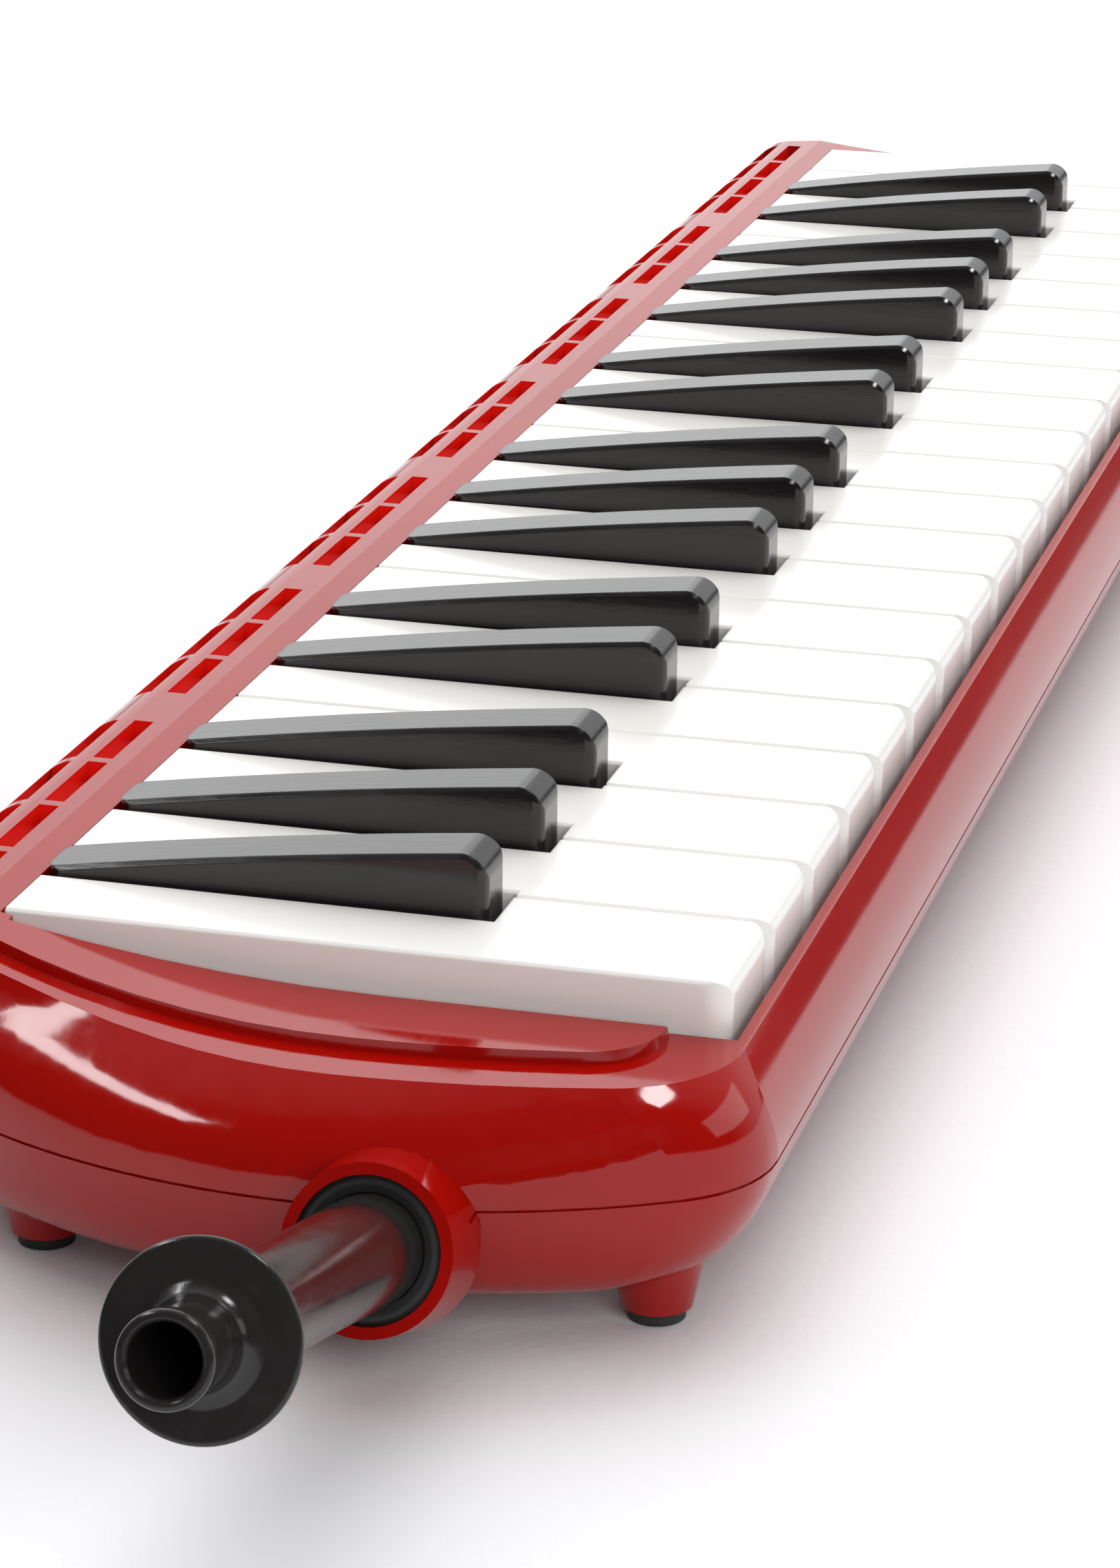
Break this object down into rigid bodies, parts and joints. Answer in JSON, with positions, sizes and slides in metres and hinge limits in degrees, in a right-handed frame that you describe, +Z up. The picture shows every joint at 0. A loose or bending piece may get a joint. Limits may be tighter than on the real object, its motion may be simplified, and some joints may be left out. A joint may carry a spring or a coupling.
{
  "type": "melodica",
  "caption": "Keyed wind instrument: a long red case with rounded ends, a spring-returned black and white keyboard, vent slots behind it and a tilted black mouthpiece pushed into one end.",
  "frame": {"origin": "under the middle of the whole instrument, on the surface that the feet stand on", "axes": "+X towards the high notes, away from the mouthpiece; +Y away from the player, towards the vent slots; +Z up"},
  "size_m": [0.5779, 0.1052, 0.0441],
  "materials": {
    "red_shell": "glossy",
    "ivory_white": "glossy",
    "key_black": "glossy",
    "mouthpiece_black": "glossy",
    "rubber_black": "matte",
    "red_gauze": "matte",
    "steel": "satin",
    "spring_steel": "satin",
    "inner_grey": "matte",
    "plate_metal": "satin",
    "reed_brass": "satin",
    "felt": "matte"
  },
  "bodies": {
    "case": {"upper_case": "red_shell", "lower_case": "red_shell", "vent_screen": "red_gauze", "rubber_feet": "rubber_black", "case_screws": "steel", "inlet_bush": "rubber_black", "inlet_duct": "inner_grey", "hinge_shaft": "steel", "shaft_brackets": "inner_grey", "key_springs": "spring_steel", "valve_board": "inner_grey", "wind_tray": "inner_grey", "reed_cells": "inner_grey", "reed_plate_low": "plate_metal", "reed_plate_high": "plate_metal", "reeds": "reed_brass", "reed_plate_screws": "steel", "key_stop_felt": "felt", "drain_spring": "spring_steel"},
    "key_F3": {"key_F3": "ivory_white"},
    "key_Fs3": {"key_Fs3": "key_black"},
    "key_G3": {"key_G3": "ivory_white"},
    "key_Gs3": {"key_Gs3": "key_black"},
    "key_A3": {"key_A3": "ivory_white"},
    "key_As3": {"key_As3": "key_black"},
    "key_B3": {"key_B3": "ivory_white"},
    "key_C4": {"key_C4": "ivory_white"},
    "key_Cs4": {"key_Cs4": "key_black"},
    "key_D4": {"key_D4": "ivory_white"},
    "key_Ds4": {"key_Ds4": "key_black"},
    "key_E4": {"key_E4": "ivory_white"},
    "key_F4": {"key_F4": "ivory_white"},
    "key_Fs4": {"key_Fs4": "key_black"},
    "key_G4": {"key_G4": "ivory_white"},
    "key_Gs4": {"key_Gs4": "key_black"},
    "key_A4": {"key_A4": "ivory_white"},
    "key_As4": {"key_As4": "key_black"},
    "key_B4": {"key_B4": "ivory_white"},
    "key_C5": {"key_C5": "ivory_white"},
    "key_Cs5": {"key_Cs5": "key_black"},
    "key_D5": {"key_D5": "ivory_white"},
    "key_Ds5": {"key_Ds5": "key_black"},
    "key_E5": {"key_E5": "ivory_white"},
    "key_F5": {"key_F5": "ivory_white"},
    "key_Fs5": {"key_Fs5": "key_black"},
    "key_G5": {"key_G5": "ivory_white"},
    "key_Gs5": {"key_Gs5": "key_black"},
    "key_A5": {"key_A5": "ivory_white"},
    "key_As5": {"key_As5": "key_black"},
    "key_B5": {"key_B5": "ivory_white"},
    "key_C6": {"key_C6": "ivory_white"},
    "key_Cs6": {"key_Cs6": "key_black"},
    "key_D6": {"key_D6": "ivory_white"},
    "key_Ds6": {"key_Ds6": "key_black"},
    "key_E6": {"key_E6": "ivory_white"},
    "key_F6": {"key_F6": "ivory_white"},
    "mouthpiece": {"mouthpiece": "mouthpiece_black", "mouthpiece_seal": "rubber_black"},
    "drain_valve": {"drain_button": "mouthpiece_black", "drain_seal": "rubber_black"}
  },
  "joints": [
    {"name": "press_F3", "type": "hinge", "parent": "case", "child": "key_F3", "pos_m": [-0.175, 0.0332, 0.0293], "axis": [1, 0, 0], "range_deg": [0, 3.1], "stiffness_Nm_per_rad": 0.37, "springref_deg": -4.64, "deforming": ["key_springs"]},
    {"name": "press_Fs3", "type": "hinge", "parent": "case", "child": "key_Fs3", "pos_m": [-0.16333, 0.0332, 0.0293], "axis": [1, 0, 0], "range_deg": [0, 3.1], "stiffness_Nm_per_rad": 0.37, "springref_deg": -4.64, "deforming": ["key_springs"]},
    {"name": "press_G3", "type": "hinge", "parent": "case", "child": "key_G3", "pos_m": [-0.15167, 0.0332, 0.0293], "axis": [1, 0, 0], "range_deg": [0, 3.1], "stiffness_Nm_per_rad": 0.37, "springref_deg": -4.64, "deforming": ["key_springs"]},
    {"name": "press_Gs3", "type": "hinge", "parent": "case", "child": "key_Gs3", "pos_m": [-0.14, 0.0332, 0.0293], "axis": [1, 0, 0], "range_deg": [0, 3.1], "stiffness_Nm_per_rad": 0.37, "springref_deg": -4.64, "deforming": ["key_springs"]},
    {"name": "press_A3", "type": "hinge", "parent": "case", "child": "key_A3", "pos_m": [-0.12833, 0.0332, 0.0293], "axis": [1, 0, 0], "range_deg": [0, 3.1], "stiffness_Nm_per_rad": 0.37, "springref_deg": -4.64, "deforming": ["key_springs"]},
    {"name": "press_As3", "type": "hinge", "parent": "case", "child": "key_As3", "pos_m": [-0.11667, 0.0332, 0.0293], "axis": [1, 0, 0], "range_deg": [0, 3.1], "stiffness_Nm_per_rad": 0.37, "springref_deg": -4.64, "deforming": ["key_springs"]},
    {"name": "press_B3", "type": "hinge", "parent": "case", "child": "key_B3", "pos_m": [-0.105, 0.0332, 0.0293], "axis": [1, 0, 0], "range_deg": [0, 3.1], "stiffness_Nm_per_rad": 0.37, "springref_deg": -4.64, "deforming": ["key_springs"]},
    {"name": "press_C4", "type": "hinge", "parent": "case", "child": "key_C4", "pos_m": [-0.09333, 0.0332, 0.0293], "axis": [1, 0, 0], "range_deg": [0, 3.1], "stiffness_Nm_per_rad": 0.37, "springref_deg": -4.64, "deforming": ["key_springs"]},
    {"name": "press_Cs4", "type": "hinge", "parent": "case", "child": "key_Cs4", "pos_m": [-0.08167, 0.0332, 0.0293], "axis": [1, 0, 0], "range_deg": [0, 3.1], "stiffness_Nm_per_rad": 0.37, "springref_deg": -4.64, "deforming": ["key_springs"]},
    {"name": "press_D4", "type": "hinge", "parent": "case", "child": "key_D4", "pos_m": [-0.07, 0.0332, 0.0293], "axis": [1, 0, 0], "range_deg": [0, 3.1], "stiffness_Nm_per_rad": 0.37, "springref_deg": -4.64, "deforming": ["key_springs"]},
    {"name": "press_Ds4", "type": "hinge", "parent": "case", "child": "key_Ds4", "pos_m": [-0.05833, 0.0332, 0.0293], "axis": [1, 0, 0], "range_deg": [0, 3.1], "stiffness_Nm_per_rad": 0.37, "springref_deg": -4.64, "deforming": ["key_springs"]},
    {"name": "press_E4", "type": "hinge", "parent": "case", "child": "key_E4", "pos_m": [-0.04667, 0.0332, 0.0293], "axis": [1, 0, 0], "range_deg": [0, 3.1], "stiffness_Nm_per_rad": 0.37, "springref_deg": -4.64, "deforming": ["key_springs"]},
    {"name": "press_F4", "type": "hinge", "parent": "case", "child": "key_F4", "pos_m": [-0.035, 0.0332, 0.0293], "axis": [1, 0, 0], "range_deg": [0, 3.1], "stiffness_Nm_per_rad": 0.37, "springref_deg": -4.64, "deforming": ["key_springs"]},
    {"name": "press_Fs4", "type": "hinge", "parent": "case", "child": "key_Fs4", "pos_m": [-0.02333, 0.0332, 0.0293], "axis": [1, 0, 0], "range_deg": [0, 3.1], "stiffness_Nm_per_rad": 0.37, "springref_deg": -4.64, "deforming": ["key_springs"]},
    {"name": "press_G4", "type": "hinge", "parent": "case", "child": "key_G4", "pos_m": [-0.01167, 0.0332, 0.0293], "axis": [1, 0, 0], "range_deg": [0, 3.1], "stiffness_Nm_per_rad": 0.37, "springref_deg": -4.64, "deforming": ["key_springs"]},
    {"name": "press_Gs4", "type": "hinge", "parent": "case", "child": "key_Gs4", "pos_m": [0, 0.0332, 0.0293], "axis": [1, 0, 0], "range_deg": [0, 3.1], "stiffness_Nm_per_rad": 0.37, "springref_deg": -4.64, "deforming": ["key_springs"]},
    {"name": "press_A4", "type": "hinge", "parent": "case", "child": "key_A4", "pos_m": [0.01167, 0.0332, 0.0293], "axis": [1, 0, 0], "range_deg": [0, 3.1], "stiffness_Nm_per_rad": 0.37, "springref_deg": -4.64, "deforming": ["key_springs"]},
    {"name": "press_As4", "type": "hinge", "parent": "case", "child": "key_As4", "pos_m": [0.02333, 0.0332, 0.0293], "axis": [1, 0, 0], "range_deg": [0, 3.1], "stiffness_Nm_per_rad": 0.37, "springref_deg": -4.64, "deforming": ["key_springs"]},
    {"name": "press_B4", "type": "hinge", "parent": "case", "child": "key_B4", "pos_m": [0.035, 0.0332, 0.0293], "axis": [1, 0, 0], "range_deg": [0, 3.1], "stiffness_Nm_per_rad": 0.37, "springref_deg": -4.64, "deforming": ["key_springs"]},
    {"name": "press_C5", "type": "hinge", "parent": "case", "child": "key_C5", "pos_m": [0.04667, 0.0332, 0.0293], "axis": [1, 0, 0], "range_deg": [0, 3.1], "stiffness_Nm_per_rad": 0.37, "springref_deg": -4.64, "deforming": ["key_springs"]},
    {"name": "press_Cs5", "type": "hinge", "parent": "case", "child": "key_Cs5", "pos_m": [0.05833, 0.0332, 0.0293], "axis": [1, 0, 0], "range_deg": [0, 3.1], "stiffness_Nm_per_rad": 0.37, "springref_deg": -4.64, "deforming": ["key_springs"]},
    {"name": "press_D5", "type": "hinge", "parent": "case", "child": "key_D5", "pos_m": [0.07, 0.0332, 0.0293], "axis": [1, 0, 0], "range_deg": [0, 3.1], "stiffness_Nm_per_rad": 0.37, "springref_deg": -4.64, "deforming": ["key_springs"]},
    {"name": "press_Ds5", "type": "hinge", "parent": "case", "child": "key_Ds5", "pos_m": [0.08167, 0.0332, 0.0293], "axis": [1, 0, 0], "range_deg": [0, 3.1], "stiffness_Nm_per_rad": 0.37, "springref_deg": -4.64, "deforming": ["key_springs"]},
    {"name": "press_E5", "type": "hinge", "parent": "case", "child": "key_E5", "pos_m": [0.09333, 0.0332, 0.0293], "axis": [1, 0, 0], "range_deg": [0, 3.1], "stiffness_Nm_per_rad": 0.37, "springref_deg": -4.64, "deforming": ["key_springs"]},
    {"name": "press_F5", "type": "hinge", "parent": "case", "child": "key_F5", "pos_m": [0.105, 0.0332, 0.0293], "axis": [1, 0, 0], "range_deg": [0, 3.1], "stiffness_Nm_per_rad": 0.37, "springref_deg": -4.64, "deforming": ["key_springs"]},
    {"name": "press_Fs5", "type": "hinge", "parent": "case", "child": "key_Fs5", "pos_m": [0.11667, 0.0332, 0.0293], "axis": [1, 0, 0], "range_deg": [0, 3.1], "stiffness_Nm_per_rad": 0.37, "springref_deg": -4.64, "deforming": ["key_springs"]},
    {"name": "press_G5", "type": "hinge", "parent": "case", "child": "key_G5", "pos_m": [0.12833, 0.0332, 0.0293], "axis": [1, 0, 0], "range_deg": [0, 3.1], "stiffness_Nm_per_rad": 0.37, "springref_deg": -4.64, "deforming": ["key_springs"]},
    {"name": "press_Gs5", "type": "hinge", "parent": "case", "child": "key_Gs5", "pos_m": [0.14, 0.0332, 0.0293], "axis": [1, 0, 0], "range_deg": [0, 3.1], "stiffness_Nm_per_rad": 0.37, "springref_deg": -4.64, "deforming": ["key_springs"]},
    {"name": "press_A5", "type": "hinge", "parent": "case", "child": "key_A5", "pos_m": [0.15167, 0.0332, 0.0293], "axis": [1, 0, 0], "range_deg": [0, 3.1], "stiffness_Nm_per_rad": 0.37, "springref_deg": -4.64, "deforming": ["key_springs"]},
    {"name": "press_As5", "type": "hinge", "parent": "case", "child": "key_As5", "pos_m": [0.16333, 0.0332, 0.0293], "axis": [1, 0, 0], "range_deg": [0, 3.1], "stiffness_Nm_per_rad": 0.37, "springref_deg": -4.64, "deforming": ["key_springs"]},
    {"name": "press_B5", "type": "hinge", "parent": "case", "child": "key_B5", "pos_m": [0.175, 0.0332, 0.0293], "axis": [1, 0, 0], "range_deg": [0, 3.1], "stiffness_Nm_per_rad": 0.37, "springref_deg": -4.64, "deforming": ["key_springs"]},
    {"name": "press_C6", "type": "hinge", "parent": "case", "child": "key_C6", "pos_m": [0.18667, 0.0332, 0.0293], "axis": [1, 0, 0], "range_deg": [0, 3.1], "stiffness_Nm_per_rad": 0.37, "springref_deg": -4.64, "deforming": ["key_springs"]},
    {"name": "press_Cs6", "type": "hinge", "parent": "case", "child": "key_Cs6", "pos_m": [0.19833, 0.0332, 0.0293], "axis": [1, 0, 0], "range_deg": [0, 3.1], "stiffness_Nm_per_rad": 0.37, "springref_deg": -4.64, "deforming": ["key_springs"]},
    {"name": "press_D6", "type": "hinge", "parent": "case", "child": "key_D6", "pos_m": [0.21, 0.0332, 0.0293], "axis": [1, 0, 0], "range_deg": [0, 3.1], "stiffness_Nm_per_rad": 0.37, "springref_deg": -4.64, "deforming": ["key_springs"]},
    {"name": "press_Ds6", "type": "hinge", "parent": "case", "child": "key_Ds6", "pos_m": [0.22167, 0.0332, 0.0293], "axis": [1, 0, 0], "range_deg": [0, 3.1], "stiffness_Nm_per_rad": 0.37, "springref_deg": -4.64, "deforming": ["key_springs"]},
    {"name": "press_E6", "type": "hinge", "parent": "case", "child": "key_E6", "pos_m": [0.23333, 0.0332, 0.0293], "axis": [1, 0, 0], "range_deg": [0, 3.1], "stiffness_Nm_per_rad": 0.37, "springref_deg": -4.64, "deforming": ["key_springs"]},
    {"name": "press_F6", "type": "hinge", "parent": "case", "child": "key_F6", "pos_m": [0.245, 0.0332, 0.0293], "axis": [1, 0, 0], "range_deg": [0, 3.1], "stiffness_Nm_per_rad": 0.37, "springref_deg": -4.64, "deforming": ["key_springs"]},
    {"name": "mouthpiece_pull", "type": "slide", "parent": "case", "child": "mouthpiece", "axis": [-0.9571, -0.0485, 0.2857], "range_m": [0, 0.02]},
    {"name": "drain_push", "type": "slide", "parent": "case", "child": "drain_valve", "axis": [0, 0, 1], "range_m": [0, 0.0018], "stiffness_N_per_m": 300, "springref_m": -0.003, "deforming": ["drain_spring"]}
  ]
}
